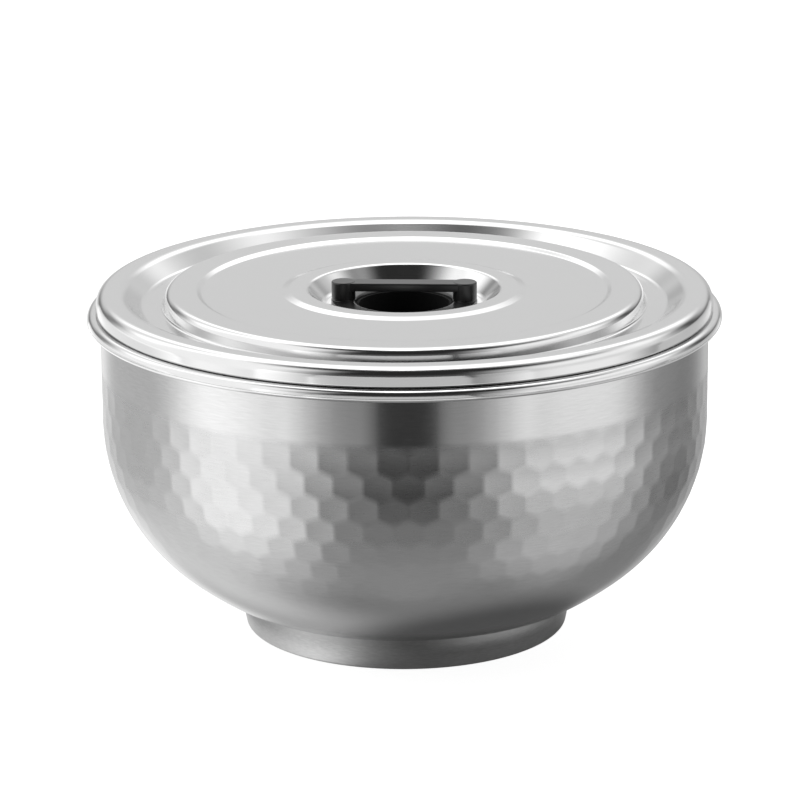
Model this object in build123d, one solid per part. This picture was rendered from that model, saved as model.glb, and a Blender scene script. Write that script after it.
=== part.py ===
from build123d import *
import math
import os

# Double-wall stainless bowl with a lift-off lid. Millimetres and degrees, +Z up.
# The origin is the middle of the foot, on the surface that the bowl stands on.

# Bowl body: outside of the outer shell, from the flat base up to the upright collar
collar_radius = 86.25
base_height = 8.8
base_bend = 26.0
heel_slope = 32.3
heel_bend = 108.5
flank_slope = 38.5
shoulder_bend = 54.3

# Sheet steel of the two shells and the air space between them
shell_thickness = 0.5
wall_gap = 2.6

# Rim: a flat flange, its rolled edge, and the standing lip that the lid sits over
flange_height = 93.4
rim_overhang = 3.75
rim_crown = 2.15
rim_under = 1.1
rim_return = 3.0
lip_width = 3.0
root_bend = 0.6
collar_bend = 1.0

# Foot ring
foot_radius = 46.1
foot_thickness = 0.6
foot_lean = 1.2
foot_lean_height = 6.0
foot_bend = 12.0
foot_ledge = 3.2
foot_edge_bend = 0.4
weld_gap = 0.05

# Vent of the air space, in the middle of the base, and its plug
vent_radius = 2.0
plug_flange = 1.2
plug_flange_thickness = 0.8
plug_clearance = 0.05

# Lid, from the skirt inwards
lid_thickness = 0.6
lid_rise = 5.4
lid_seat_gap = 0.35
lip_clearance = 1.3
skirt_gap = 0.05
skirt_curl = 0.95
skirt_draft = 0.45
crest_width = 7.3
slope_width = 5.5
trough_depth = 4.5
trough_width = 5.7
plateau_rise = 4.48
plateau_draft = 1.1
band_width = 8.6
step_width = 1.5
step_depth = 0.85
dish_step_width = 2.4
dish_band = 4.9
dish_rise = 0.6
dish_depth = 4.87
dish_run = 4.8

# Pressed bends of the lid, each the radius inside the bend
hem_bend = 0.1
crest_bend = 2.6
slope_bend = 3.2
plateau_bend = 1.8
step_bend = 0.6
dish_bend = 0.9
trough_bend = 2.0
plateau_root_bend = 0.9
seat_bend = 2.5

# Grip: a ring on the dish's seat, two posts and the bar between them
well_radius = 13.8
post_radius = 3.4
post_margin = 0.05
post_height = 6.64
ring_thickness = 1.3
ring_margin = 2.1
bar_width = 5.6
bar_height = 2.3
bar_drop = 0.15
bar_round = 0.4
grip_edge = 0.4

# Finger cup under the grip, the collar that locates it in the grip's ring, and its gasket
hole_clearance = 0.4
gasket_thickness = 0.8
cup_flange_thickness = 2.0
cup_wall = 1.2
spigot_wall = 0.8
spigot_clearance = 0.15
spigot_rise = 0.3
cup_depth = 8.5
cup_draft = 1.5
cup_bend = 2.0

# Two self-tapping screws from the cup up into the posts
screw_radius = 1.3
screw_bite = 4.6
screw_point = 1.0
screw_head_radius = 2.3
screw_head_height = 1.6
screw_head_round = 0.8
screw_clearance = 0.3
thread_clearance = 0.05
slot_length = 2.6
slot_width = 0.6
slot_depth = 0.8

# A fold with this share of its width as a radius is nearly half round
fold_share = 0.48

# Sizes that follow from those above
rim_radius = collar_radius + rim_overhang
rim_bend = 2 * fold_share * rim_crown
under_bend = 2 * fold_share * rim_under
inner_face = shell_thickness + wall_gap + shell_thickness
mouth_radius = collar_radius - inner_face
lip_radius = mouth_radius + lip_width
crest_height = flange_height + lid_rise
lip_height = crest_height - lid_thickness - lid_seat_gap
foot_wall_radius = foot_radius + foot_lean

skirt_radius = lip_radius + lip_clearance + lid_thickness
crest_radius = skirt_radius - skirt_draft
slope_radius = crest_radius - crest_width
trough_radius = slope_radius - slope_width
trough_height = crest_height - trough_depth
plateau_root = trough_radius - trough_width
plateau_radius = plateau_root - plateau_draft
plateau_height = trough_height + plateau_rise
band_radius = plateau_radius - band_width
pan_height = plateau_height - step_depth
post_circle = well_radius + post_margin + post_radius
ring_radius = well_radius + 2 * (post_margin + post_radius)
seat_radius = ring_radius + ring_margin
dish_radius = seat_radius + dish_run
dish_height = pan_height + dish_rise
seat_height = dish_height - dish_depth
post_top = seat_height + post_height
bar_top = post_top - bar_drop

hole_radius = well_radius + hole_clearance
gasket_top = seat_height - lid_thickness
cup_top = gasket_top - gasket_thickness
cup_under = cup_top - cup_flange_thickness
spigot_radius = well_radius - spigot_clearance
spigot_top = seat_height + spigot_rise
cup_radius = spigot_radius - spigot_wall
cup_floor = cup_top - cup_depth
screw_hole = screw_radius + screw_clearance
screw_tip = seat_height + screw_bite
post_hole = screw_radius + thread_clearance
post_places = Locations((post_circle, 0), (-post_circle, 0))


def turned(section):
    """Solid of revolution of a half section drawn as (radius, height)."""
    return revolve(Plane.XZ * section, Axis.Z)


def sheet(path, thickness, side):
    """Turned sheet-metal piece whose half section follows the path, with its wall on one side."""
    return turned(make_face(offset(path, thickness, side=side)))


def body_line(inset):
    """Half line of the bowl body, this far inside the outer shell's outer face, up to the collar."""
    height = base_height + inset
    bends = base_bend * math.sin(math.radians(heel_slope))
    bends += heel_bend * (math.sin(math.radians(flank_slope)) - math.sin(math.radians(heel_slope)))
    bends += shoulder_bend * (1 - math.sin(math.radians(flank_slope)))
    base = Line((0, height), (collar_radius - bends, height))
    heel = JernArc(base @ 1, base % 1, base_bend - inset, heel_slope)
    flank = JernArc(heel @ 1, heel % 1, heel_bend - inset, flank_slope - heel_slope)
    shoulder = JernArc(flank @ 1, flank % 1, shoulder_bend - inset, 90 - flank_slope)
    return [base, heel, flank, shoulder]


def cylinders(radius, bottom, top):
    """An upright cylinder at each post, for its screw hole."""
    rod = Pos(0, 0, bottom) * extrude(Circle(radius), top - bottom)
    return [place * rod for place in post_places.locations]


def make_outer_shell():
    """Outer wall: base with a vent hole, round body, collar, and the flange caught in the rim."""
    body = body_line(0)
    under_flange = flange_height - 2 * shell_thickness
    flange = FilletPolyline(
        body[-1] @ 1,
        (collar_radius, under_flange),
        (rim_radius - rim_bend, under_flange),
        radius=[collar_bend],
    )
    shell = sheet(Wire([*body, *flange.edges()]), shell_thickness, Side.LEFT)
    vent = Pos(0, 0, base_height) * extrude(Circle(vent_radius), shell_thickness, both=True)
    return shell - vent


def make_inner_shell():
    """Inner wall: food side, standing lip, flange, and the edge rolled under the outer flange."""
    body = body_line(inner_face)
    bead_bottom = flange_height - rim_crown - rim_under
    lip_bend = fold_share * lip_width
    rim = FilletPolyline(
        body[-1] @ 1,
        (mouth_radius, lip_height),
        (lip_radius, lip_height),
        (lip_radius, flange_height),
        (rim_radius, flange_height),
        (rim_radius, bead_bottom),
        (rim_radius - rim_return, bead_bottom),
        radius=[lip_bend, lip_bend, root_bend, rim_bend, under_bend],
    )
    return sheet(Wire([*body, *rim.edges()]), shell_thickness, Side.RIGHT)


def make_foot_ring():
    """Ring with a ledge to stand on and a wall that leans out, cut to the shell it is welded to."""
    path = FilletPolyline(
        (foot_radius - foot_ledge, 0),
        (foot_radius, 0),
        (foot_wall_radius, foot_lean_height),
        (foot_wall_radius, flange_height / 2),
        radius=[foot_edge_bend + foot_thickness, foot_bend],
    )
    wall = make_face(offset(path, foot_thickness, side=Side.LEFT))
    body = body_line(-weld_gap)
    shoulder_end = body[-1] @ 1
    axis_end = Vector(0, shoulder_end.Y)
    closing = [Line(shoulder_end, axis_end), Line(axis_end, body[0] @ 0)]
    return turned(wall - make_face([*body, *closing]))


def make_vent_plug():
    """Soft plug with a flange on each side of the base sheet."""
    stem = vent_radius - plug_clearance
    flange = vent_radius + plug_flange
    above = base_height + shell_thickness
    section = Polyline(
        (0, base_height - plug_flange_thickness),
        (flange, base_height - plug_flange_thickness),
        (flange, base_height),
        (stem, base_height),
        (stem, above),
        (flange, above),
        (stem, above + plug_flange_thickness),
        (0, above + plug_flange_thickness),
        close=True,
    )
    return turned(make_face(section))


def make_lid_panel():
    """Pressed lid: skirt, crest over the bowl's lip, trough, plateau, and the dish with its holes."""
    skirt_bottom = flange_height + skirt_gap
    path = FilletPolyline(
        (skirt_radius - skirt_curl, skirt_bottom),
        (skirt_radius, skirt_bottom),
        (crest_radius, crest_height),
        (slope_radius, crest_height),
        (trough_radius, trough_height),
        (plateau_root, trough_height),
        (plateau_radius, plateau_height),
        (band_radius, plateau_height),
        (band_radius - step_width, pan_height),
        (dish_radius + dish_band + dish_step_width, pan_height),
        (dish_radius + dish_band, dish_height),
        (dish_radius, dish_height),
        (seat_radius, seat_height),
        (hole_radius, seat_height),
        radius=[
            hem_bend + lid_thickness,
            crest_bend + lid_thickness,
            slope_bend + lid_thickness,
            trough_bend,
            plateau_root_bend,
            plateau_bend + lid_thickness,
            step_bend + lid_thickness,
            step_bend + lid_thickness,
            step_bend + lid_thickness,
            step_bend + lid_thickness,
            dish_bend + lid_thickness,
            seat_bend,
        ],
    )
    panel = sheet(path, lid_thickness, Side.LEFT)
    return panel - cylinders(screw_hole, gasket_top, seat_height)


def make_grip():
    """Moulded ring, two posts with holes for the screws, and the bar that the fingers hold."""
    ring_top = seat_height + ring_thickness
    ring = turned(
        make_face(
            FilletPolyline(
                (well_radius, seat_height),
                (ring_radius, seat_height),
                (ring_radius, ring_top),
                (well_radius, ring_top),
                close=True,
                radius=[0, 0, grip_edge, grip_edge],
            )
        )
    )
    post = extrude(Circle(post_radius), post_height)
    post = fillet(post.edges().group_by(Axis.Z)[-1], grip_edge)
    posts = [place * Pos(0, 0, seat_height) * post for place in post_places.locations]
    bar_middle = bar_top - bar_height / 2
    bar = extrude(
        Plane.YZ * Pos(0, bar_middle) * RectangleRounded(bar_width, bar_height, bar_round),
        post_circle,
        both=True,
    )
    return ring + posts + bar - cylinders(post_hole, seat_height, screw_tip)


def make_finger_cup():
    """Moulded cup: a flange under the gasket, a tapered finger well, and a collar up into the grip."""
    floor_radius = cup_radius - cup_draft
    under_floor = cup_floor - cup_wall
    section = FilletPolyline(
        (0, cup_floor),
        (floor_radius, cup_floor),
        (cup_radius, spigot_top),
        (spigot_radius, spigot_top),
        (spigot_radius, cup_top),
        (ring_radius, cup_top),
        (ring_radius, cup_under),
        (cup_radius + cup_wall, cup_under),
        (floor_radius + cup_wall, under_floor),
        (0, under_floor),
        close=True,
        radius=[0, cup_bend, 0, 0, 0, grip_edge, grip_edge, 0, cup_bend, 0],
    )
    return turned(make_face(section)) - cylinders(screw_hole, cup_under, cup_top)


def make_cup_gasket():
    """Flat soft ring between the lid's seat and the cup's flange."""
    ring = Circle(ring_radius) - Circle(hole_radius)
    gasket = Pos(0, 0, cup_top) * extrude(ring, gasket_thickness)
    return gasket - cylinders(screw_hole, cup_top, gasket_top)


def make_grip_screws():
    """Two pan-head screws with a cross recess, each up through the cup and gasket into its post."""
    head_bottom = cup_under - screw_head_height
    section = FilletPolyline(
        (0, head_bottom),
        (screw_head_radius, head_bottom),
        (screw_head_radius, cup_under),
        (screw_radius, cup_under),
        (screw_radius, screw_tip - screw_point),
        (0, screw_tip),
        close=True,
        radius=[0, screw_head_round, 0, 0, 0, 0],
    )
    slot = Rectangle(slot_length, slot_width) + Rectangle(slot_width, slot_length)
    recess = Pos(0, 0, head_bottom) * extrude(slot, slot_depth)
    screw = turned(make_face(section)) - recess
    return Compound([(place * screw).solid() for place in post_places.locations])


pieces = {
    "outer_shell": make_outer_shell,
    "inner_shell": make_inner_shell,
    "foot_ring": make_foot_ring,
    "vent_plug": make_vent_plug,
    "lid_panel": make_lid_panel,
    "grip": make_grip,
    "finger_cup": make_finger_cup,
    "cup_gasket": make_cup_gasket,
    "grip_screws": make_grip_screws,
}

os.makedirs("parts", exist_ok=True)
for name, make in pieces.items():
    export_step(make(), f"parts/{name}.step")
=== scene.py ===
"""Looks of a double-wall stainless bowl with a lift-off lid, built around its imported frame.

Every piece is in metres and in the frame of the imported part: the origin is the middle of the foot
on the surface that the bowl stands on, +Z is up, and the grip bar runs along X.
"""

import logging
import math
from collections.abc import Mapping, Sequence
from dataclasses import dataclass, field
from enum import Enum
from typing import Any

import bpy
from mathutils import Euler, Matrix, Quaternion, Vector
from mathutils.kdtree import KDTree


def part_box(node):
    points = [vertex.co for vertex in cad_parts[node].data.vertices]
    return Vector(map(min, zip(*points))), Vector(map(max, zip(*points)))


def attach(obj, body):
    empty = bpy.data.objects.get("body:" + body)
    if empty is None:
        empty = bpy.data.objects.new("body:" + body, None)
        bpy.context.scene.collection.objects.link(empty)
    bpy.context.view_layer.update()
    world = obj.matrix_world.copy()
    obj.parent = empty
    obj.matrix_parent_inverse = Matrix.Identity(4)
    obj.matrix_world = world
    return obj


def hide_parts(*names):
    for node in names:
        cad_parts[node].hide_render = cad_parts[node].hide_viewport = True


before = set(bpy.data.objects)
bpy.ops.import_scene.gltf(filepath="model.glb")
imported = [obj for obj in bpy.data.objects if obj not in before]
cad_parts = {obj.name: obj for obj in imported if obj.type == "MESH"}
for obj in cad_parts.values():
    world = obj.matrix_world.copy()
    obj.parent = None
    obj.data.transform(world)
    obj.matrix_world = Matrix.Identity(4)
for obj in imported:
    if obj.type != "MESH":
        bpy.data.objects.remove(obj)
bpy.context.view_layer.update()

MM = 0.001
WELD = 2e-6
HOLD = 0.12 * MM
MITRE = 0.5
FINE_OCTAVES = 3.0
SOFT_OCTAVES = 2.0
Point = tuple[float, float]
Span = tuple[float, float]
Colour = tuple[float, float, float]
Piece = bpy.types.Object
log = logging.getLogger("bowl")


class Body(Enum):
    """Bodies of the frame that the pieces ride on."""

    BOWL = "bowl"
    LID = "lid"


class Side(Enum):
    """Side of a half section on which a sheet has its thickness, seen along the line."""

    LEFT = 1
    RIGHT = -1


class Grain(Enum):
    """How a steel surface was finished: in brush lines round the axis, or polished evenly."""

    BRUSHED = "brushed"
    POLISHED = "polished"


class Value:
    """A value in a node tree. Arithmetic on it adds Math nodes."""

    def __init__(self, board: "Board", socket: bpy.types.NodeSocket) -> None:
        """Keep the tree and the output socket that carries the value."""
        self.board = board
        self.socket = socket

    def math(self, operation: str, *terms: "Value | float") -> "Value":
        """Add one Math node.

        Args:
            operation: The node's operation.
            terms: Its inputs, in order.

        Returns:
            The node's result.
        """
        node = self.board.add("ShaderNodeMath", {"operation": operation}, dict(enumerate(terms)))
        return self.board.value(node)

    def __add__(self, other: "Value | float") -> "Value":
        """Sum of two values."""
        return self.math("ADD", self, other)

    def __radd__(self, other: float) -> "Value":
        """Sum of a number and a value."""
        return self.math("ADD", other, self)

    def __sub__(self, other: "Value | float") -> "Value":
        """Difference of two values."""
        return self.math("SUBTRACT", self, other)

    def __rsub__(self, other: float) -> "Value":
        """Difference of a number and a value."""
        return self.math("SUBTRACT", other, self)

    def __mul__(self, other: "Value | float") -> "Value":
        """Product of two values."""
        return self.math("MULTIPLY", self, other)

    def __rmul__(self, other: float) -> "Value":
        """Product of a number and a value."""
        return self.math("MULTIPLY", other, self)


class Board:
    """Node tree of one material or of the world, filled by code."""

    def __init__(self, tree: bpy.types.NodeTree) -> None:
        """Start from an empty tree."""
        self.tree = tree
        tree.nodes.clear()

    def add(
        self,
        kind: str,
        settings: Mapping[str, Any] | None = None,
        sockets: Mapping[str | int, Any] | None = None,
    ) -> bpy.types.Node:
        """Add one node.

        Args:
            kind: The node's type.
            settings: Its own settings, which are set first.
            sockets: Values, or Value links, of its input sockets by name or number.

        Returns:
            The new node.
        """
        node = self.tree.nodes.new(kind)
        for name, setting in (settings or {}).items():
            setattr(node, name, setting)
        for name, given in (sockets or {}).items():
            if isinstance(given, Value):
                self.tree.links.new(given.socket, node.inputs[name])
            else:
                node.inputs[name].default_value = given
        return node

    def value(self, node: bpy.types.Node, output: str | int = 0) -> Value:
        """Wrap one output of a node."""
        return Value(self, node.outputs[output])

    def noise(self, place: Value, scale: float, detail: float, roughness: float = 0.6) -> Value:
        """Noise over a place vector.

        Args:
            place: Where to look the noise up.
            scale: Features per unit of the vector.
            detail: Octaves of finer noise.
            roughness: Weight of each octave against the one before.

        Returns:
            Noise from 0 to 1.
        """
        node = self.add(
            "ShaderNodeTexNoise",
            {"noise_dimensions": "3D"},
            {"Vector": place, "Scale": scale, "Detail": detail, "Roughness": roughness},
        )
        return self.value(node)

    def ramp(self, value: Value, low: float, high: float) -> Value:
        """Smooth step of a value.

        Args:
            value: The value to map.
            low: Where the result is 0.
            high: Where the result is 1.

        Returns:
            The step, from 0 to 1.
        """
        node = self.add(
            "ShaderNodeMapRange",
            {"interpolation_type": "SMOOTHSTEP"},
            {"Value": value, "From Min": low, "From Max": high},
        )
        return self.value(node)

    def mix(self, share: Value, low: Colour, high: Colour) -> Value:
        """Colour between two colours.

        Args:
            share: Share of the second colour.
            low: First colour.
            high: Second colour.

        Returns:
            The mixed colour.
        """
        node = self.add(
            "ShaderNodeMix",
            {"data_type": "RGBA"},
            {0: share, 6: (*low, 1.0), 7: (*high, 1.0)},
        )
        return self.value(node, 2)


def grey(tone: float) -> Colour:
    """A neutral colour."""
    return tone, tone, tone


@dataclass(frozen=True)
class Finish:
    """What every finish has: a name, and a material that is made once."""

    name: str

    def material(self) -> bpy.types.Material:
        """Find the finish's material, or make it at its first use.

        Returns:
            The material.
        """
        found = bpy.data.materials.get(self.name)
        if found:
            return found
        made = bpy.data.materials.new(self.name)
        made.use_nodes = True
        board = Board(made.node_tree)
        shader = board.add("ShaderNodeBsdfPrincipled", {}, self.sockets(board))
        board.add("ShaderNodeOutputMaterial", {}, {"Surface": board.value(shader)})
        return made

    def sockets(self, board: Board) -> dict[str, Any]:
        """Values and links of the shader's sockets, given by each finish."""
        raise NotImplementedError


@dataclass(frozen=True)
class SteelFinish(Finish):
    """Stainless steel with brush lines that run round the axis."""

    grain: Grain = Grain.BRUSHED
    dark: Colour = grey(0.58)
    light: Colour = grey(0.66)
    roughness: float = 0.3
    spread: float = 0.08
    smear: float = 0.8
    smear_turn: float = 0.25
    line_depth: float = 0.002 * MM
    lines: float = 2600.0
    streaks: float = 22.0
    clouds: float = 70.0
    brush_gloss: float = 0.6
    brush_tone: float = 0.7
    satin: float = 0.0
    # Painted shade: how far the base tone is pulled towards the dark colour inside the zone.
    painted_shade: float = 0.0
    zone_top: Span = (76.0 * MM, 78.2 * MM)
    zone_foot: Span = (30.0 * MM, 54.0 * MM)

    def zone(self, board: Board, height: Value) -> Value:
        """Share of the satin zone, painted darker as shade, at a height: none above and below it, with
        soft ends.

        Args:
            board: The material's tree.
            height: Height of the point.

        Returns:
            The share, from 0 to 1.
        """
        full, gone = self.zone_top
        return board.ramp(height, gone, full) * board.ramp(height, *self.zone_foot)

    def sockets(self, board: Board) -> dict[str, Any]:
        """Metal whose tone, gloss and relief follow the brush lines.

        Args:
            board: The material's tree.

        Returns:
            Values and links of the shader's sockets.
        """
        place = board.value(board.add("ShaderNodeTexCoord"), "Object")
        split = board.add("ShaderNodeSeparateXYZ", {}, {0: place})
        along = {"X": board.value(split, "X"), "Y": board.value(split, "Y")}
        flat = board.value(board.add("ShaderNodeCombineXYZ", {}, along))
        length = board.add("ShaderNodeVectorMath", {"operation": "LENGTH"}, {0: flat})
        unit = board.add("ShaderNodeVectorMath", {"operation": "NORMALIZE"}, {0: flat})
        scaled = board.add(
            "ShaderNodeVectorMath", {"operation": "SCALE"}, {0: board.value(unit), "Scale": self.streaks}
        )
        across = (board.value(length, "Value") + board.value(split, "Z")) * self.lines
        lift = board.value(board.add("ShaderNodeCombineXYZ", {}, {"Z": across}))
        lay = board.add("ShaderNodeVectorMath", {}, {0: board.value(scaled), 1: lift})
        brush = board.noise(board.value(lay), 1.0, FINE_OCTAVES)
        cloud = board.noise(place, self.clouds, SOFT_OCTAVES)
        even = self.grain is Grain.POLISHED
        relief = board.noise(place, self.lines, SOFT_OCTAVES) if even else brush
        bump = board.add(
            "ShaderNodeBump", {}, {"Strength": 1.0, "Distance": self.line_depth, "Height": relief}
        )
        gloss = self.brush_gloss * brush + (1 - self.brush_gloss) * cloud
        rough = self.roughness + self.spread * (gloss - 0.5)
        tone = self.brush_tone * brush + (1 - self.brush_tone) * cloud
        # Inside the zone the steel is rougher, and its tone is pulled down as painted shade.
        if self.satin or self.painted_shade:
            share = self.zone(board, board.value(split, "Z"))
            rough = rough + self.satin * share
            tone = tone - self.painted_shade * share
        return {
            "Base Color": board.mix(tone, self.dark, self.light),
            "Metallic": 1.0,
            "Roughness": rough,
            "Anisotropic": self.smear,
            "Anisotropic Rotation": self.smear_turn,
            "Normal": board.value(bump),
        }


@dataclass(frozen=True)
class MouldedFinish(Finish):
    """Moulded plastic or silicone with a fine spark-eroded grain."""

    dark: Colour = (0.016, 0.016, 0.017)
    light: Colour = (0.026, 0.026, 0.027)
    roughness: float = 0.45
    spread: float = 0.12
    gloss: float = 0.5
    grain_size: float = 1900.0
    grain_depth: float = 0.02 * MM
    grain_relief: float = 0.6
    clouds: float = 90.0

    def sockets(self, board: Board) -> dict[str, Any]:
        """Plastic whose tone, gloss and relief follow the grain.

        Args:
            board: The material's tree.

        Returns:
            Values and links of the shader's sockets.
        """
        place = board.value(board.add("ShaderNodeTexCoord"), "Object")
        grain = board.noise(place, self.grain_size, FINE_OCTAVES)
        mottle = 0.5 * grain + 0.5 * board.noise(place, self.clouds, SOFT_OCTAVES)
        relief = {"Strength": self.grain_relief, "Distance": self.grain_depth, "Height": grain}
        bump = board.add("ShaderNodeBump", {}, relief)
        return {
            "Base Color": board.mix(mottle, self.dark, self.light),
            "Roughness": self.roughness + self.spread * (mottle - 0.5),
            "Specular IOR Level": self.gloss,
            "Normal": board.value(bump),
        }


@dataclass(frozen=True)
class SweepFinish(Finish):
    """Matt white paper that glows, as a lit sweep does."""

    tone: float = 0.3
    roughness: float = 0.9
    glow: float = 0.9

    def sockets(self, board: Board) -> dict[str, Any]:
        """Even paper.

        Args:
            board: The material's tree.

        Returns:
            Values of the shader's sockets.
        """
        return {
            "Base Color": (*grey(self.tone), 1.0),
            "Roughness": self.roughness,
            "Emission Color": (1.0, 1.0, 1.0, 1.0),
            "Emission Strength": self.glow,
        }


@dataclass(frozen=True)
class ShadeFinish(Finish):
    """Dim paper that fades out round its middle."""

    full: float = 27.0 * MM
    reach: float = 47.5 * MM
    glow: float = 0.1

    def sockets(self, board: Board) -> dict[str, Any]:
        """Paper that covers fully in the middle and not at all from its reach outwards.

        Args:
            board: The material's tree.

        Returns:
            Values and links of the shader's sockets.
        """
        place = board.value(board.add("ShaderNodeTexCoord"), "Object")
        away = board.add("ShaderNodeVectorMath", {"operation": "LENGTH"}, {0: place})
        return {
            "Base Color": (0.0, 0.0, 0.0, 1.0),
            "Specular IOR Level": 0.0,
            "Emission Color": (*grey(self.glow), 1.0),
            "Emission Strength": 1.0,
            "Alpha": board.ramp(board.value(away, "Value"), self.reach, self.full),
        }


# The zone over the dented band is rougher, and painted darker than the collar as shade.
BODY_STEEL = SteelFinish(
    "brushed body steel",
    dark=grey(0.53),
    light=grey(0.71),
    roughness=0.19,
    smear=0.37,
    satin=0.09,
    painted_shade=0.26,
)
# A darker copy of the brushed steel, pulled darker from 2 mm up and fully from 8 mm to the weld: painted
# shade under the bowl's overhang.
SHADED_FOOT_STEEL = SteelFinish(
    "brushed foot steel with painted shade",
    dark=grey(0.36),
    light=grey(0.68),
    roughness=0.4,
    smear=0.2,
    painted_shade=0.5,
    zone_foot=(2.0 * MM, 8.0 * MM),
)
BOWL_STEEL = SteelFinish(
    "polished inner steel",
    grain=Grain.POLISHED,
    roughness=0.12,
    spread=0.04,
    smear=0.0,
    line_depth=0.0003 * MM,
)
LID_STEEL = SteelFinish(
    "polished lid steel",
    grain=Grain.POLISHED,
    dark=grey(0.60),
    light=grey(0.64),
    roughness=0.12,
    spread=0.03,
    smear=0.0,
    line_depth=0.0003 * MM,
)
SCREW_STEEL = SteelFinish("bright screw steel", roughness=0.24, smear=0.3)
GRIP_BLACK = MouldedFinish(
    "moulded black plastic",
    dark=grey(0.009),
    light=grey(0.015),
    roughness=0.3,
    gloss=0.55,
)
# Its base colour is blacker than the grip's plastic: painted shade in the finger well under the bar.
SHADED_CUP_BLACK = MouldedFinish(
    "matt black plastic with painted shade",
    dark=grey(0.002),
    light=grey(0.004),
    roughness=0.8,
    gloss=0.15,
)
SILICONE = MouldedFinish(
    "matt grey silicone", dark=(0.5, 0.5, 0.49), light=(0.58, 0.58, 0.57), roughness=0.55
)


@dataclass(frozen=True)
class Corner:
    """One corner of a half section, and how round it is."""

    radius: float
    height: float
    bend: float = 0.0


def rounded(corners: Sequence[Corner], quarter: int = 8) -> list[Point]:
    """Draw a half section with each bend as an arc.

    Args:
        corners: The section's corners, in order.
        quarter: Straight runs in a quarter of a turn.

    Returns:
        Points of the section. A short run holds each arc's ends.
    """
    places = [Vector((corner.radius, corner.height)) for corner in corners]
    points = []
    for index, corner in enumerate(corners):
        here = places[index]
        if not corner.bend:
            points.append(tuple(here))
            continue
        back = (places[index - 1] - here).normalized()
        ahead = (places[index + 1] - here).normalized()
        half = back.angle(ahead) / 2
        reach = corner.bend / math.tan(half)
        middle = here + (back + ahead).normalized() * corner.bend / math.sin(half)
        start = here + back * reach
        end = here + ahead * reach
        turn = math.pi - 2 * half
        runs = max(2, math.ceil(turn / (math.pi / 2) * quarter))
        arm = start - middle
        sign = math.copysign(1.0, arm.x * (end - middle).y - arm.y * (end - middle).x)
        points.append(tuple(start + back * HOLD))
        for step in range(runs + 1):
            angle = sign * turn * step / runs
            cosine, sine = math.cos(angle), math.sin(angle)
            points.append((
                middle.x + arm.x * cosine - arm.y * sine,
                middle.y + arm.x * sine + arm.y * cosine,
            ))
        points.append(tuple(end + ahead * HOLD))
    return points


def walled(path: Sequence[Point], thickness: float, side: Side) -> list[Point]:
    """Give a line a thickness.

    Args:
        path: The line of one face.
        thickness: How thick the sheet is.
        side: The side of the line that the sheet is on.

    Returns:
        The path and then the other face's line, backwards.
    """
    places = [Vector(point) for point in path]
    other = []
    for index, here in enumerate(places):
        before = here - places[index - 1] if index else places[1] - here
        after = places[index + 1] - here if index + 1 < len(places) else before
        before, after = before.normalized(), after.normalized()
        along = (before + after).normalized()
        normal = Vector((-along.y, along.x)) * side.value
        other.append(tuple(here + normal * thickness / max(MITRE, along.dot(before))))
    return [*path, *reversed(other)]


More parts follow.
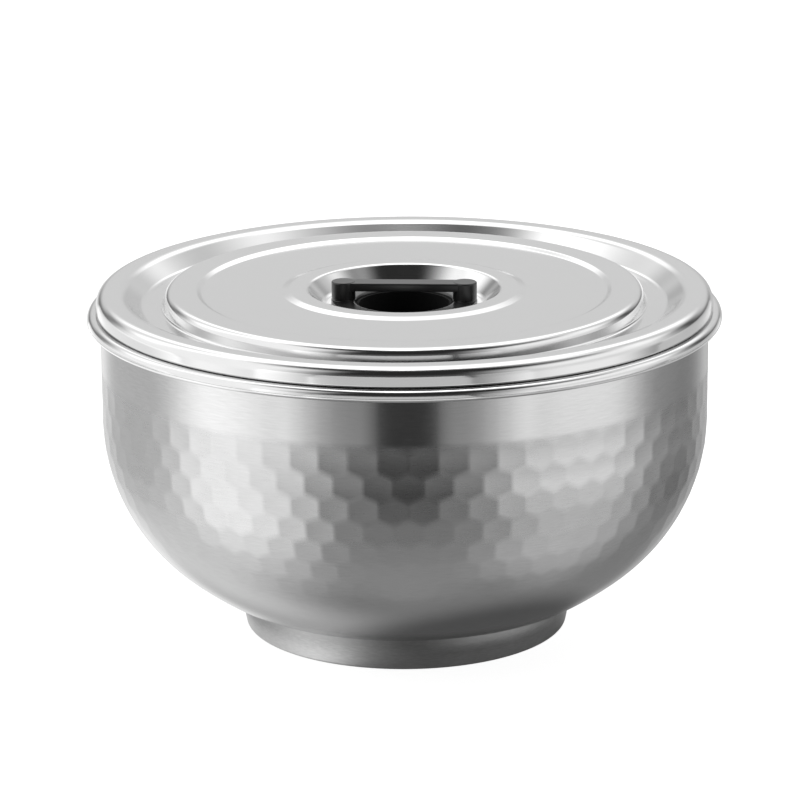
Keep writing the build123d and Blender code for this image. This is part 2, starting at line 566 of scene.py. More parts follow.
class Bench:
    """Modelling steps that the pieces share."""

    @staticmethod
    def clear() -> None:
        """Leave edit mode and deselect everything."""
        if bpy.context.mode != "OBJECT":
            bpy.ops.object.mode_set(mode="OBJECT")
        bpy.ops.object.select_all(action="DESELECT")

    @staticmethod
    def edit() -> None:
        """Enter edit mode with the whole mesh selected."""
        bpy.ops.object.mode_set(mode="EDIT")
        bpy.ops.mesh.select_all(action="SELECT")

    @staticmethod
    def named(name: str) -> Piece:
        """Name the object that was just added.

        Args:
            name: Name of the object and of its mesh.

        Returns:
            The object.
        """
        piece = bpy.context.active_object
        piece.name = name
        piece.data.name = name
        return piece

    @classmethod
    def turned(
        cls, name: str, outline: Sequence[Point], steps: int, closed: bool = True
    ) -> Piece:
        """Turn a half section about the Z axis.

        Args:
            name: The piece's name.
            outline: Points of the half section.
            steps: Columns in a full turn.
            closed: Whether the last point is joined to the first. An outline that
                starts and ends on the axis is left open.

        Returns:
            The turned piece.
        """
        cls.clear()
        bpy.ops.mesh.primitive_plane_add(size=MM)
        piece = cls.named(name)
        cls.edit()
        bpy.ops.mesh.merge(type="CENTER")
        places = [Vector((radius, 0.0, height)) for radius, height in outline]
        if closed:
            places.append(places[0])
        bpy.ops.transform.translate(value=places[0])
        for before, here in zip(places, places[1:]):
            bpy.ops.mesh.extrude_vertices_move(TRANSFORM_OT_translate={"value": here - before})
        bpy.ops.mesh.select_all(action="SELECT")
        bpy.ops.mesh.remove_doubles(threshold=WELD)
        cls.modify(piece, "SCREW", {
            "axis": "Z",
            "angle": math.tau,
            "steps": steps,
            "render_steps": steps,
            "use_merge_vertices": True,
            "merge_threshold": WELD,
        })
        cls.edit()
        bpy.ops.mesh.remove_doubles(threshold=WELD)
        bpy.ops.mesh.normals_make_consistent(inside=False)
        bpy.ops.object.mode_set(mode="OBJECT")
        return piece

    @classmethod
    def pick(cls, piece: Piece) -> None:
        """Select one piece alone and make it active.

        Args:
            piece: The piece.
        """
        cls.clear()
        piece.select_set(True)
        bpy.context.view_layer.objects.active = piece

    @classmethod
    def modify(cls, piece: Piece, kind: str, settings: Mapping[str, Any]) -> None:
        """Add a modifier and apply it.

        Args:
            piece: The piece to change.
            kind: The modifier's type.
            settings: Its settings.
        """
        cls.pick(piece)
        modifier = piece.modifiers.new(kind.title(), kind)
        for name, setting in settings.items():
            setattr(modifier, name, setting)
        bpy.ops.object.modifier_apply(modifier=modifier.name)

    @classmethod
    def dress(
        cls,
        piece: Piece,
        finish: Finish,
        body: Body,
        slot: str,
        *nodes: str,
        angle: float = 40.0,
    ) -> Piece:
        """Shade a piece, and give it its finish and its place in the frame.

        Args:
            piece: The finished mesh.
            finish: Its finish.
            body: The body that it rides on.
            slot: The record's material slot that it stands for. It is not used.
            nodes: The frame's nodes that it replaces.
            angle: Degrees between two faces past which their edge is sharp.

        Returns:
            The piece.
        """
        cls.pick(piece)
        bpy.ops.object.shade_smooth_by_angle(angle=math.radians(angle))
        piece.data.materials.clear()
        piece.data.materials.append(finish.material())
        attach(piece, body.value)
        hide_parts(*nodes)
        log.info("%s: %d faces, rides on %s", piece.name, len(piece.data.polygons), body.value)
        return piece


@dataclass(frozen=True)
class BodyLine:
    """Half line of the bowl's outer face, measured down from the top of the collar."""

    collar_radius: float = 86.25 * MM
    top: float = 90.5 * MM
    base_height: float = 8.8 * MM
    base_bend: float = 26.0 * MM
    heel_slope: float = 32.3
    heel_bend: float = 108.5 * MM
    flank_slope: float = 38.5
    shoulder_bend: float = 54.3 * MM

    def arcs(self) -> list[tuple[float, float, float, float, float]]:
        """Arcs from the collar down.

        Returns:
            For each arc its middle's radius and height, its bend, and the angles below the
            horizontal at which it starts and ends.
        """
        heel, flank = math.radians(self.heel_slope), math.radians(self.flank_slope)
        shoulder_middle = self.collar_radius - self.shoulder_bend
        flank_middle = shoulder_middle - (self.heel_bend - self.shoulder_bend) * math.sin(flank)
        base_middle = flank_middle + (self.heel_bend - self.base_bend) * math.sin(heel)
        base_rise = self.base_height + self.base_bend
        flank_rise = base_rise + (self.heel_bend - self.base_bend) * math.cos(heel)
        shoulder_rise = flank_rise - (self.heel_bend - self.shoulder_bend) * math.cos(flank)
        quarter = math.pi / 2
        return [
            (shoulder_middle, shoulder_rise, self.shoulder_bend, 0.0, quarter - flank),
            (flank_middle, flank_rise, self.heel_bend, quarter - flank, quarter - heel),
            (base_middle, base_rise, self.base_bend, quarter - heel, quarter),
        ]

    def at(self, distance: float, inset: float = 0.0) -> tuple[Point, Point]:
        """Find a point of the line.

        Args:
            distance: How far down the face from the top of the collar.
            inset: How far inside the face.

        Returns:
            The point's radius and height, and the face's outward normal there.
        """
        arcs = self.arcs()
        left = distance - (self.top - arcs[0][1])
        if left <= 0:
            return (self.collar_radius - inset, arcs[0][1] - left), (1.0, 0.0)
        for radius, height, bend, start, end in arcs:
            angle = start + left / bend
            if angle <= end:
                normal = (math.cos(angle), -math.sin(angle))
                reach = bend - inset
                return (radius + reach * normal[0], height + reach * normal[1]), normal
            left -= bend * (end - start)
        return (arcs[-1][0] - left, self.base_height + inset), (0.0, -1.0)

    def length(self) -> float:
        """Length of the face from the top of the collar to the end of the last arc."""
        arcs = self.arcs()
        return self.top - arcs[0][1] + sum(bend * (end - start) for _, _, bend, start, end in arcs)


@dataclass(frozen=True)
class DentField:
    """Shallow six-sided dents pressed in rows round the bowl, neighbouring rows half a dent apart."""

    cells: int = 67
    rows: int = 7
    first_row: float = 18.2 * MM
    row_pitch: float = 6.65 * MM
    first_ridge: float = -86.54
    hollow: float = 8.7
    flatness: float = 0.88
    fade_in: Span = (13.3 * MM, 14.7 * MM)
    fade_out: Span = (40.0 * MM, 63.0 * MM)
    fade_power: float = 0.8
    wave_round: float = 0.4
    columns: tuple[float, ...] = (0.0, 0.17, 0.5, 0.83)
    rings: tuple[float, ...] = (0.0, 0.17, 0.39, 0.61, 0.83)

    def steps(self) -> int:
        """Columns in a full turn of the dented wall."""
        return 2 * self.cells * len(self.columns)

    def angle(self, column: int) -> float:
        """Turned angle of a column, with columns drawn close to the upright ridges."""
        half, part = divmod(column, len(self.columns))
        return math.radians(self.first_ridge) + math.pi / self.cells * (half + self.columns[part])

    def boundary(self, number: int, angle: float, radius: float) -> float:
        """Find the wavy ridge between two rows of dents.

        Args:
            number: Ridge number, with 0 above the first row.
            angle: Turned angle.
            radius: Radius of the wall there.

        Returns:
            Distance down the wall.
        """
        width = math.tau * radius / self.cells
        swing = self.flatness * width * width / (8 * self.row_pitch)
        share = (angle - math.radians(self.first_ridge)) / (math.tau / self.cells) + 0.5 * (number % 2)
        share -= math.floor(share)
        zigzag = 1 - 4 * abs(share - 0.5)
        curve = math.cos(math.tau * (share - 0.5))
        wave = (1 - self.wave_round) * zigzag + self.wave_round * curve
        return self.first_row + (number - 0.5) * self.row_pitch - swing * wave

    def strength(self, distance: float) -> float:
        """How much of their full depth the dents have.

        Args:
            distance: Distance down the wall.

        Returns:
            The share, from 0 to 1.
        """
        rise = (distance - self.fade_in[0]) / (self.fade_in[1] - self.fade_in[0])
        fall = (self.fade_out[1] - distance) / (self.fade_out[1] - self.fade_out[0])
        rise, fall = min(1.0, max(0.0, rise)), min(1.0, max(0.0, fall))
        return rise * fall ** self.fade_power

    def depth(self, angle: float, distance: float, radius: float) -> float:
        """Depth of the dents at a point of the wall.

        Args:
            angle: Turned angle.
            distance: Distance down the wall.
            radius: Radius of the wall there.

        Returns:
            How far the wall is pressed in.
        """
        pitch = math.tau / self.cells
        nearest = math.inf
        middle_row = round((distance - self.first_row) / self.row_pitch)
        for row in range(middle_row - 1, middle_row + 2):
            share = (angle - math.radians(self.first_ridge)) / pitch - 0.5 + 0.5 * (row % 2)
            across = (share - round(share)) * pitch * radius
            down = distance - self.first_row - row * self.row_pitch
            nearest = min(nearest, self.flatness * across * across + down * down)
        half = pitch * radius / 2
        spread = self.flatness * half * half
        side = (self.row_pitch ** 2 - spread) / (2 * self.row_pitch)
        full = spread + side * side
        return self.hollow * self.strength(distance) * max(0.0, full - nearest)


@dataclass
class OuterShell:
    """Outer wall: flange under the rim, plain collar, dented shoulder, plain flank and base."""

    line: BodyLine
    dents: DentField = field(default_factory=DentField)
    thickness: float = 0.5 * MM
    flange_radius: float = 87.93 * MM
    flange_height: float = 92.4 * MM
    collar_bend: float = 1.0 * MM
    vent_radius: float = 2.0 * MM
    collar_rings: tuple[float, ...] = (0.0, 4.0 * MM, 9.0 * MM, 12.4 * MM, 13.1 * MM, 13.4 * MM)
    ring_spacing: float = 2.6 * MM
    inner_spacing: float = 5.0 * MM
    finish: Finish = BODY_STEEL

    def rows(self) -> list[tuple[int, float]]:
        """Row number, and share of the row passed, of each ring of points in the dents."""
        found = [(row, share) for row in range(self.dents.rows) for share in self.dents.rings]
        return [*found, (self.dents.rows, 0.0)]

    def outline(self) -> tuple[list[Point], int]:
        """Draw the half section.

        Returns:
            Its points, and the number of the first point in the dents.
        """
        bend = Corner(self.line.collar_radius, self.flange_height, self.collar_bend)
        flange = Corner(self.flange_radius, self.flange_height)
        points = rounded([flange, bend, Corner(self.line.collar_radius, self.line.top)])[:-1]
        points += [self.line.at(distance)[0] for distance in self.collar_rings]
        first = len(points)
        pitch, top = self.dents.row_pitch, self.dents.first_row - self.dents.row_pitch / 2
        points += [self.line.at(top + (row + share) * pitch)[0] for row, share in self.rows()]
        start = top + self.dents.rows * pitch + self.ring_spacing
        end = self.line.length()
        runs = round((end - start) / self.ring_spacing)
        points += [self.line.at(start + (end - start) * step / runs)[0] for step in range(runs + 1)]
        points.append((self.vent_radius, self.line.base_height))
        runs = round(end / self.inner_spacing)
        points.append((self.vent_radius, self.line.base_height + self.thickness))
        for step in range(runs, -1, -1):
            points.append(self.line.at(end * step / runs, self.thickness)[0])
        top_bend = Corner(
            self.line.collar_radius - self.thickness,
            self.flange_height + self.thickness,
            self.collar_bend + self.thickness,
        )
        below = Corner(self.line.collar_radius - self.thickness, self.line.top)
        over = Corner(self.flange_radius, self.flange_height + self.thickness)
        points += rounded([below, top_bend, over])[1:]
        return points, first

    def build(self) -> Piece:
        """Turn the wall and press its dents.

        Returns:
            The finished piece.
        """
        outline, first = self.outline()
        piece = Bench.turned("outer_wall", outline, self.dents.steps())
        rows = self.rows()
        tree = KDTree(len(outline))
        for number, (radius, height) in enumerate(outline):
            tree.insert((radius, height, 0.0), number)
        tree.balance()
        step = math.tau / self.dents.steps()
        for vertex in piece.data.vertices:
            x, y, height = vertex.co
            radius = math.hypot(x, y)
            number = tree.find((radius, height, 0.0))[1]
            angle = self.dents.angle(round(math.atan2(y, x) / step) % self.dents.steps())
            radius, height = outline[number]
            if first <= number < first + len(rows):
                row, share = rows[number - first]
                radius, height = self.pressed(row, share, angle, radius)
            vertex.co = (radius * math.cos(angle), radius * math.sin(angle), height)
        piece.data.update()
        return Bench.dress(piece, self.finish, Body.BOWL, "outer_steel", "outer_shell")

    def pressed(self, row: int, share: float, angle: float, radius: float) -> Point:
        """Place one point of the dents.

        Args:
            row: Row number.
            share: Share of the row passed, from its upper ridge to its lower one.
            angle: Turned angle.
            radius: Radius of the wall there.

        Returns:
            The point's radius and height.
        """
        upper = self.dents.boundary(row, angle, radius)
        lower = self.dents.boundary(row + 1, angle, radius)
        distance = upper + (lower - upper) * share
        (out, height), normal = self.line.at(distance)
        depth = self.dents.depth(angle, distance, out)
        return out - normal[0] * depth, height - normal[1] * depth


@dataclass
class InnerShell:
    """Inner wall: food side, standing lip, flange, and the edge rolled under the outer flange."""

    line: BodyLine
    inset: float = 3.6 * MM
    thickness: float = 0.5 * MM
    flange_height: float = 93.4 * MM
    lip_width: float = 3.0 * MM
    lip_fold: float = 1.44 * MM
    rim_crown: float = 2.15 * MM
    rim_under: float = 1.1 * MM
    rim_return: float = 3.0 * MM
    crown_fold: float = 2.064 * MM
    under_fold: float = 1.056 * MM
    root_bend: float = 0.6 * MM
    spacing: float = 2.5 * MM
    steps: int = 320
    finish: Finish = BOWL_STEEL

    def build(self) -> Piece:
        """Turn the wall.

        Returns:
            The finished piece.
        """
        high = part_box("inner_shell")[1]
        mouth = self.line.collar_radius - self.inset
        lip = mouth + self.lip_width
        under = self.flange_height - self.rim_crown - self.rim_under
        end = self.line.length()
        runs = round(end / self.spacing)
        path = [(0.0, self.line.base_height + self.inset)]
        path += [self.line.at(end * step / runs, self.inset)[0] for step in range(runs, -1, -1)]
        rim = rounded([
            Corner(mouth, self.line.top),
            Corner(mouth, high.z, self.lip_fold),
            Corner(lip, high.z, self.lip_fold),
            Corner(lip, self.flange_height, self.root_bend),
            Corner(high.x, self.flange_height, self.crown_fold),
            Corner(high.x, under, self.under_fold),
            Corner(high.x - self.rim_return, under),
        ])
        outline = walled([*path, *rim[1:]], self.thickness, Side.RIGHT)
        piece = Bench.turned("inner_wall", outline, self.steps, closed=False)
        return Bench.dress(piece, self.finish, Body.BOWL, "inner_steel", "inner_shell")


@dataclass
class FootRing:
    """Welded ring that the bowl stands on."""

    line: BodyLine
    radius: float = 46.1 * MM
    ledge: float = 3.2 * MM
    thickness: float = 0.6 * MM
    lean_height: float = 6.0 * MM
    edge_bend: float = 1.0 * MM
    wall_bend: float = 12.0 * MM
    weld_gap: float = 0.05 * MM
    steps: int = 256
    finish: Finish = SHADED_FOOT_STEEL

    def top(self, radius: float) -> float:
        """Height at which the ring's wall meets the shell.

        Args:
            radius: Radius in the ring's wall.

        Returns:
            The height, a weld gap below the shell.
        """
        middle, rise, bend, _, _ = self.line.arcs()[-1]
        reach = bend + self.weld_gap
        return rise - math.sqrt(reach * reach - (radius - middle) ** 2)

    def build(self) -> Piece:
        """Turn the ring.

        Returns:
            The finished piece.
        """
        low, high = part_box("foot_ring")
        outer, inner = high.x, high.x - self.thickness
        path = rounded([
            Corner(self.radius - self.ledge, low.z),
            Corner(self.radius, low.z, self.edge_bend),
            Corner(outer, low.z + self.lean_height, self.wall_bend),
            Corner(outer, low.z + 2 * self.lean_height),
        ])[:-1]
        outline = walled(path, self.thickness, Side.LEFT)
        face = len(path)
        outline[face - 1] = (outer, self.top(outer))
        outline[face] = (inner, self.top(inner))
        piece = Bench.turned("foot_wall", outline, self.steps)
        return Bench.dress(piece, self.finish, Body.BOWL, "foot_steel", "foot_ring")


@dataclass
class VentPlug:
    """Soft plug in the vent of the air space."""

    stem: float = 1.95 * MM
    sheet: float = 0.5 * MM
    base_height: float = 8.8 * MM
    edge: float = 0.3 * MM
    steps: int = 48
    finish: Finish = SILICONE

    def build(self) -> Piece:
        """Turn the plug.

        Returns:
            The finished piece.
        """
        low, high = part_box("vent_plug")
        above = self.base_height + self.sheet
        outline = rounded([
            Corner(0.0, low.z),
            Corner(high.x, low.z, self.edge),
            Corner(high.x, self.base_height),
            Corner(self.stem, self.base_height),
            Corner(self.stem, above),
            Corner(high.x, above),
            Corner(self.stem, high.z),
            Corner(0.0, high.z),
        ])
        piece = Bench.turned("plug", outline, self.steps, closed=False)
        return Bench.dress(piece, self.finish, Body.BOWL, "plug_silicone", "vent_plug")


@dataclass
class LidPanel:
    """Pressed lid: skirt, crest over the bowl's lip, trough, plateau with a fine step, and dish."""

    thickness: float = 0.6 * MM
    skirt_radius: float = 87.55 * MM
    skirt_bottom: float = 93.45 * MM
    skirt_curl: float = 0.95 * MM
    hem_bend: float = 0.7 * MM
    crest_radius: float = 87.1 * MM
    crest_height: float = 98.8 * MM
    crest_bend: float = 3.2 * MM
    slope_radius: float = 79.8 * MM
    slope_bend: float = 3.8 * MM
    trough_radius: float = 74.3 * MM
    trough_height: float = 94.3 * MM
    trough_bend: float = 2.0 * MM
    plateau_root: float = 68.6 * MM
    root_bend: float = 0.9 * MM
    plateau_radius: float = 67.5 * MM
    plateau_bend: float = 2.4 * MM
    band_radius: float = 58.9 * MM
    step_width: float = 1.5 * MM
    step_depth: float = 0.85 * MM
    step_bend: float = 1.2 * MM
    dish_step_width: float = 2.4 * MM
    dish_edge: float = 32.5 * MM
    dish_radius: float = 27.6 * MM
    dish_rise: float = 0.6 * MM
    dish_bend: float = 1.5 * MM
    seat_radius: float = 22.8 * MM
    seat_bend: float = 2.5 * MM
    hole_radius: float = 14.2 * MM
    steps: int = 320
    finish: Finish = LID_STEEL

    def build(self) -> Piece:
        """Turn the lid.

        Returns:
            The finished piece.
        """
        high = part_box("lid_panel")[1]
        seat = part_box("grip")[0].z
        pan = high.z - self.step_depth
        dish = pan + self.dish_rise
        path = rounded([
            Corner(self.skirt_radius - self.skirt_curl, self.skirt_bottom),
            Corner(self.skirt_radius, self.skirt_bottom, self.hem_bend),
            Corner(self.crest_radius, self.crest_height, self.crest_bend),
            Corner(self.slope_radius, self.crest_height, self.slope_bend),
            Corner(self.trough_radius, self.trough_height, self.trough_bend),
            Corner(self.plateau_root, self.trough_height, self.root_bend),
            Corner(self.plateau_radius, high.z, self.plateau_bend),
            Corner(self.band_radius, high.z, self.step_bend),
            Corner(self.band_radius - self.step_width, pan, self.step_bend),
            Corner(self.dish_edge + self.dish_step_width, pan, self.step_bend),
            Corner(self.dish_edge, dish, self.step_bend),
            Corner(self.dish_radius, dish, self.dish_bend),
            Corner(self.seat_radius, seat, self.seat_bend),
            Corner(self.hole_radius, seat),
        ])
        piece = Bench.turned("lid_sheet", walled(path, self.thickness, Side.LEFT), self.steps)
        return Bench.dress(piece, self.finish, Body.LID, "lid_steel", "lid_panel")


@dataclass
class Grip:
    """Moulded grip: a ring on the lid's seat, two posts, and the bar that the fingers hold."""

    well_radius: float = 13.8 * MM
    ring_thickness: float = 1.3 * MM
    edge: float = 0.4 * MM
    well_edge: float = 1.0 * MM
    post_radius: float = 3.4 * MM
    post_circle: float = 17.25 * MM
    post_flare: float = 0.12 * MM
    bar_width: float = 5.6 * MM
    bar_height: float = 2.3 * MM
    bar_drop: float = 0.15 * MM
    bar_round: float = 0.4 * MM
    bar_edge: float = 0.15 * MM
    bar_runs: int = 5
    post_steps: int = 48
    sharp_angle: float = 32.0
    steps: int = 160
    finish: Finish = GRIP_BLACK

    def build(self) -> Piece:
        """Model the ring, the posts and the bar, and join them.

        Returns:
            The finished piece.
        """
        low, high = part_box("grip")
        ring_top = low.z + self.ring_thickness
        piece = Bench.turned(
            "grip_handle",
            rounded([
                Corner(self.well_radius, low.z),
                Corner(high.x, low.z),
                Corner(high.x, ring_top, self.edge),
                Corner(self.well_radius, ring_top, self.well_edge),
                Corner(self.well_radius, low.z),
            ])[:-1],
            self.steps,
        )
        parts = [self.post(side, low.z, ring_top, high.z) for side in (-1, 1)]
        parts.append(self.bar(high.z - self.bar_drop))
        for part in parts:
            Bench.modify(piece, "BOOLEAN", {"operation": "UNION", "solver": "EXACT", "object": part})
            bpy.data.objects.remove(part)
        return Bench.dress(piece, self.finish, Body.LID, "grip_black", "grip", angle=self.sharp_angle)

    def post(self, side: int, bottom: float, flare: float, top: float) -> Piece:
        """Model one post.

        Args:
            side: -1 for the left post, 1 for the right one.
            bottom: Height of its lower end, inside the ring.
            flare: Height of the ring's top, where the post flares.
            top: Height of its top.

        Returns:
            The post.
        """
        start = bottom + self.ring_thickness / 2
        outline = rounded([
            Corner(0.0, start),
            Corner(self.post_radius + self.post_flare, start),
            Corner(self.post_radius + self.post_flare, flare),
            Corner(self.post_radius, flare + self.post_flare),
            Corner(self.post_radius, top, self.edge),
            Corner(0.0, top),
        ])
        post = Bench.turned("post", outline, self.post_steps, closed=False)
        Bench.edit()
        bpy.ops.transform.translate(value=(side * self.post_circle, 0, 0))
        bpy.ops.object.mode_set(mode="OBJECT")
        return post

    def bar(self, top: float) -> Piece:
        """Model the bar.

        Args:
            top: Height of its upper face.

        Returns:
            The bar.
        """
        Bench.clear()
        bpy.ops.mesh.primitive_cube_add(
            size=1.0,
            location=(0, 0, top - self.bar_height / 2),
            scale=(2 * self.post_circle, self.bar_width, self.bar_height),
        )
        bar = Bench.named("bar")
        bpy.ops.object.transform_apply(location=True, rotation=True, scale=True)
        bpy.ops.object.mode_set(mode="EDIT")
        bpy.ops.mesh.select_mode(type="EDGE")
        for low, offset in ((False, self.bar_round), (True, self.bar_edge)):
            bpy.ops.mesh.select_all(action="DESELECT")
            bpy.ops.object.mode_set(mode="OBJECT")
            for edge in bar.data.edges:
                start, end = (bar.data.vertices[number].co for number in edge.vertices)
                below = start.z < top - self.bar_height / 2
                edge.select = abs(end.x - start.x) > self.post_circle and below is low
            bpy.ops.object.mode_set(mode="EDIT")
            bpy.ops.mesh.bevel(offset=offset, segments=self.bar_runs)
        bpy.ops.mesh.select_mode(type="VERT")
        bpy.ops.object.mode_set(mode="OBJECT")
        return bar


@dataclass
class FingerCup:
    """Moulded cup below the lid, its gasket, and the two screws that hold the grip."""

    inner_radius: float = 12.85 * MM
    spigot_radius: float = 13.65 * MM
    draft: float = 1.5 * MM
    wall: float = 1.2 * MM
    flange_thickness: float = 2.0 * MM
    bend: float = 2.0 * MM
    edge: float = 0.4 * MM
    hole_radius: float = 14.2 * MM
    gasket_edge: float = 0.15 * MM
    steps: int = 128
    cup_finish: Finish = SHADED_CUP_BLACK
    gasket_finish: Finish = SILICONE
    screw_finish: Finish = SCREW_STEEL

    def build(self) -> list[Piece]:
        """Turn the cup and its gasket, and finish the screws.

        Returns:
            The three pieces.
        """
        return [self.cup(), self.gasket(), self.screws()]

    def cup(self) -> Piece:
        """Turn the cup.

        Returns:
            The finished piece.
        """
        low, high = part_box("finger_cup")
        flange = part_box("cup_gasket")[0].z
        under = flange - self.flange_thickness
        floor_radius = self.inner_radius - self.draft
        outline = rounded([
            Corner(0.0, low.z + self.wall),
            Corner(floor_radius, low.z + self.wall, self.bend),
            Corner(self.inner_radius, high.z),
            Corner(self.spigot_radius, high.z),
            Corner(self.spigot_radius, flange),
            Corner(high.x, flange, self.edge),
            Corner(high.x, under, self.edge),
            Corner(self.inner_radius + self.wall, under),
            Corner(floor_radius + self.wall, low.z, self.bend),
            Corner(0.0, low.z),
        ])
        piece = Bench.turned("finger_well", outline, self.steps, closed=False)
        return Bench.dress(piece, self.cup_finish, Body.LID, "cup_black", "finger_cup")

    def gasket(self) -> Piece:
        """Turn the gasket.

        Returns:
            The finished piece.
        """
        low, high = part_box("cup_gasket")
        outline = rounded([
            Corner(self.hole_radius, low.z),
            Corner(high.x, low.z, self.gasket_edge),
            Corner(high.x, high.z, self.gasket_edge),
            Corner(self.hole_radius, high.z),
        ])
        piece = Bench.turned("well_gasket", outline, self.steps)
        return Bench.dress(piece, self.gasket_finish, Body.LID, "gasket_silicone", "cup_gasket")

    def screws(self) -> Piece:
        """Give the frame's own screws their finish.

        Returns:
            The frame's node.
        """
        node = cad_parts["grip_screws"]
        node.data.materials.clear()
        node.data.materials.append(self.screw_finish.material())
        log.info("%s: kept from the frame", node.name)
        return node


def pointing(bearing: float, rise: float) -> Vector:
    """Find a direction of the studio.

    Args:
        bearing: Degrees from the front, positive to the right.
        rise: Degrees above the horizon.

    Returns:
        The unit vector that points there.
    """
    turn, tilt = math.radians(bearing), math.radians(rise)
    return Vector((math.sin(turn) * math.cos(tilt), -math.cos(turn) * math.cos(tilt), math.sin(tilt)))


@dataclass(frozen=True)
class Panel:
    """One soft panel of the studio's dome.

    Its bearing is in degrees from the front, positive to the right. Its low and high edges are in
    degrees above the horizon, and each softness is half the width of an edge's fade, in degrees.
    """

    bearing: float
    half_width: float
    side_soft: float
    low: float
    high: float
    low_soft: float
    high_soft: float
    strength: float

    def glow(self, board: Board, flat: Value, rise: Value) -> Value:
        """Brightness of the panel in the direction looked at.

        Args:
            board: The world's tree.
            flat: Level part of the direction, as a unit vector.
            rise: Angle above the horizon, in degrees.

        Returns:
            The brightness.
        """
        facing = pointing(self.bearing, 0.0)
        product = board.add("ShaderNodeVectorMath", {"operation": "DOT_PRODUCT"}, {0: flat, 1: facing})
        cosine = board.value(product, "Value")
        across = cosine.math("ARCCOSINE", cosine)
        edge, soft = math.radians(self.half_width), math.radians(self.side_soft)
        side = board.ramp(across, edge + soft, edge - soft)
        lower = board.ramp(rise, self.low - self.low_soft, self.low + self.low_soft)
        upper = board.ramp(rise, self.high + self.high_soft, self.high - self.high_soft)
        return side * lower * (upper * self.strength)


@dataclass(frozen=True)
class Card:
    """One soft card that lights the polished lid and rim alone. Its size is in metres."""

    name: str
    bearing: float
    rise: float
    width: float
    height: float
    power: float
    distance: float = 0.8
    target: float = 95.0 * MM

    def build(self, lit: bpy.types.Collection) -> None:
        """Stand the card up.

        Args:
            lit: The pieces that the card lights.
        """
        toward = pointing(self.bearing, self.rise)
        place = Vector((0.0, 0.0, self.target)) + toward * self.distance
        bpy.ops.object.light_add(type="AREA", location=place)
        card = bpy.context.active_object
        card.name = self.name
        card.rotation_euler = toward.to_track_quat("Z", "Y").to_euler()
        card.data.shape = "RECTANGLE"
        card.data.size = self.width
        card.data.size_y = self.height
        card.data.energy = self.power
        card.visible_camera = False
        card.light_linking.receiver_collection = lit


@dataclass(frozen=True)
class Shade:
    """The bowl's own shadow on the floor by the foot, as the steel shows it."""

    middle: Point = (20.0 * MM, -26.0 * MM)
    lift: float = 0.05 * MM
    finish: ShadeFinish = ShadeFinish("shaded sweep")

    def build(self) -> None:
        """Lay the shade on the floor, for reflections alone."""
        Bench.clear()
        size = 2 * self.finish.reach
        bpy.ops.mesh.primitive_plane_add(size=size, location=(*self.middle, self.lift))
        shade = Bench.named("foot_shade")
        shade.data.materials.append(self.finish.material())
        shade.visible_camera = False
        shade.visible_diffuse = False
        shade.visible_shadow = False


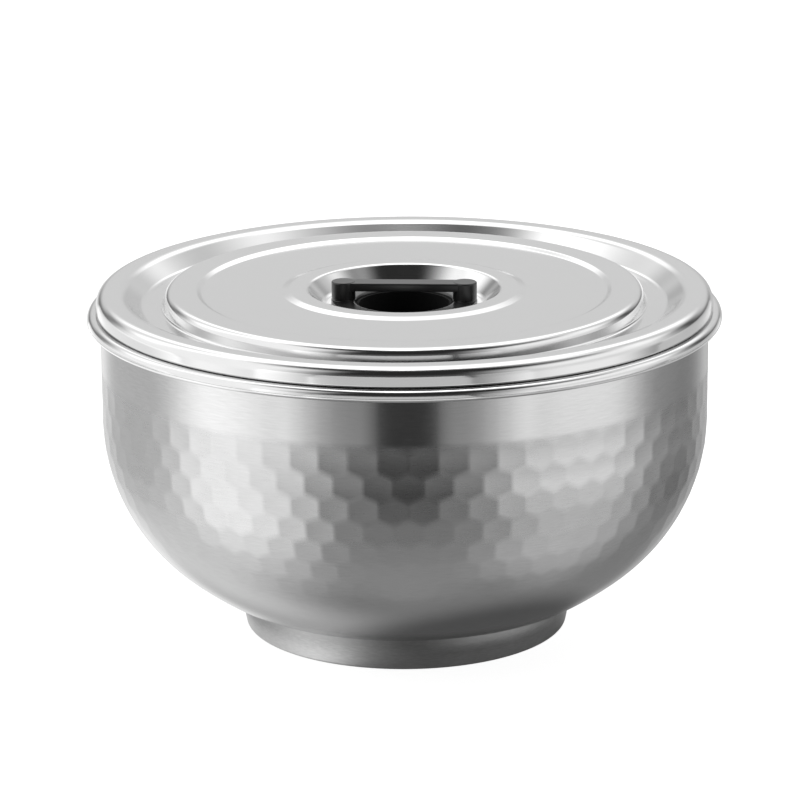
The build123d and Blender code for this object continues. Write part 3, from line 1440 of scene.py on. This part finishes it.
@dataclass
class Studio:
    """Plain pale floor, soft light from a dome of panels, and the camera."""

    bearing: float = 3.0
    pitch: float = 16.13
    roll: float = -0.4
    distance: float = 1147.4 * MM
    target_height: float = 65.2 * MM
    sideways: float = -1.4 * MM
    lens: float = 180.6
    sensor: float = 36.0
    near: float = 0.05
    floor_size: float = 12.0
    floor_finish: Finish = SweepFinish("white sweep")
    ambient: float = 0.03
    polished: tuple[str, ...] = ("inner_wall", "lid_sheet")
    shade: Shade = field(default_factory=Shade)
    cards: tuple[Card, ...] = (
        Card("front_card", -2.0, -14.0, 0.85, 1.0, 1.9),
        Card("left_wing", -39.0, -14.0, 0.3, 1.0, 0.47),
        Card("right_wing", 37.0, -14.0, 0.3, 1.0, 0.3),
        Card("left_card", -116.0, -28.0, 1.1, 1.0, 1.8),
        Card("right_card", 130.0, -28.0, 0.8, 1.0, 1.0),
    )
    panels: tuple[Panel, ...] = (
        Panel(-84.0, 46.0, 16.0, 2.0, 62.0, 8.0, 10.0, 1.36),
        Panel(-62.0, 28.0, 16.0, -42.0, 2.0, 16.0, 8.0, 0.85),
        Panel(-106.0, 54.0, 24.0, -64.0, 2.0, 16.0, 8.0, 0.6),
        Panel(-27.0, 18.0, 3.5, -22.0, -14.8, 5.0, 2.6, 0.6),
        Panel(34.0, 18.0, 3.5, -22.0, -14.8, 5.0, 2.6, 0.6),
        Panel(82.0, 40.0, 18.0, 2.0, 46.0, 8.0, 10.0, 1.05),
        Panel(69.0, 29.0, 16.0, -20.0, 2.0, 8.0, 8.0, 0.82),
        Panel(78.0, 32.0, 22.0, -58.0, 2.0, 14.0, 8.0, 0.45),
        Panel(140.0, 28.0, 14.0, -20.0, 2.0, 8.0, 8.0, 0.3),
        Panel(90.0, 34.0, 14.0, 20.0, 46.0, 8.0, 8.0, 0.28),
        Panel(104.0, 27.0, 14.0, 54.0, 80.0, 8.0, 8.0, 0.35),
        Panel(180.0, 28.0, 16.0, -30.0, -2.0, 6.0, 6.0, 0.42),
        Panel(-163.0, 15.0, 10.0, -34.0, -2.0, 6.0, 6.0, 0.3),
        Panel(-142.0, 28.0, 14.0, 23.0, 84.0, 6.0, 8.0, 0.8),
        Panel(142.0, 28.0, 14.0, 24.0, 84.0, 6.0, 8.0, 0.72),
        Panel(180.0, 34.0, 14.0, 8.0, 90.0, 6.0, 0.1, 0.82),
        Panel(180.0, 18.0, 10.0, -2.0, 8.0, 6.0, 6.0, 0.6),
        Panel(180.0, 26.0, 12.0, 30.0, 90.0, 12.0, 0.1, 0.7),
        Panel(180.0, 75.0, 28.0, 54.0, 90.0, 10.0, 0.1, 0.8),
        Panel(0.0, 181.0, 0.5, 82.0, 91.0, 6.0, 0.1, 0.35),
        Panel(0.0, 50.0, 20.0, 14.0, 34.0, 6.0, 8.0, 0.07),
        Panel(0.0, 181.0, 0.5, -91.0, -26.0, 0.1, 8.0, 0.24),
        Panel(0.0, 60.0, 40.0, -91.0, -48.0, 0.1, 12.0, 0.08),
    )

    def camera(self) -> None:
        """Set the camera at the picture's angle."""
        turn, tilt = math.radians(self.bearing), math.radians(self.pitch)
        right = Vector((math.cos(turn), math.sin(turn), 0.0))
        target = Vector((0.0, 0.0, self.target_height)) + right * self.sideways
        bpy.ops.object.camera_add(location=target + pointing(self.bearing, self.pitch) * self.distance)
        camera = bpy.context.active_object
        level = Euler((math.pi / 2 - tilt, 0.0, turn)).to_quaternion()
        camera.rotation_euler = (level @ Quaternion((0.0, 0.0, 1.0), math.radians(self.roll))).to_euler()
        camera.data.sensor_width = self.sensor
        camera.data.lens = self.lens
        camera.data.clip_start = self.near
        bpy.context.scene.camera = camera

    def floor(self) -> None:
        """Lay the floor, which the steel doesn't reflect because the dome stands for it there."""
        Bench.clear()
        bpy.ops.mesh.primitive_plane_add(size=self.floor_size)
        floor = Bench.named("floor")
        floor.data.materials.append(self.floor_finish.material())
        floor.visible_glossy = False
        floor.visible_shadow = False

    def dome(self) -> None:
        """Light the scene with soft panels."""
        world = bpy.data.worlds.new("studio")
        world.use_nodes = True
        board = Board(world.node_tree)
        toward = board.value(board.add("ShaderNodeTexCoord"), "Generated")
        split = board.add("ShaderNodeSeparateXYZ", {}, {0: toward})
        level = {"X": board.value(split, "X"), "Y": board.value(split, "Y")}
        flat = board.value(board.add("ShaderNodeCombineXYZ", {}, level))
        unit = board.add("ShaderNodeVectorMath", {"operation": "NORMALIZE"}, {0: flat})
        height = board.value(split, "Z")
        rise = height.math("ARCSINE", height) * math.degrees(1.0)
        glows = [panel.glow(board, board.value(unit), rise) for panel in self.panels]
        light = sum(glows, self.ambient)
        sky = board.add("ShaderNodeBackground", {}, {"Color": light, "Strength": 1.0})
        board.add("ShaderNodeOutputWorld", {}, {"Surface": board.value(sky)})
        bpy.context.scene.world = world

    def build(self) -> None:
        """Set up the camera, the floor, the light and the view."""
        Bench.clear()
        self.camera()
        self.floor()
        self.shade.build()
        self.dome()
        lit = bpy.data.collections.new("polished pieces")
        for name in self.polished:
            lit.objects.link(bpy.data.objects[name])
        for card in self.cards:
            card.build(lit)
        bpy.context.scene.view_settings.view_transform = "Standard"


def main() -> None:
    """Build the bowl, the lid and the studio."""
    logging.basicConfig(level=logging.INFO, format="%(name)s: %(message)s")
    line = BodyLine()
    for part in (
        OuterShell(line),
        InnerShell(line),
        FootRing(line),
        VentPlug(),
        LidPanel(),
        Grip(),
        FingerCup(),
        Studio(),
    ):
        part.build()
        log.info("%s is done", type(part).__name__)


if __name__ == "__main__":
    main()
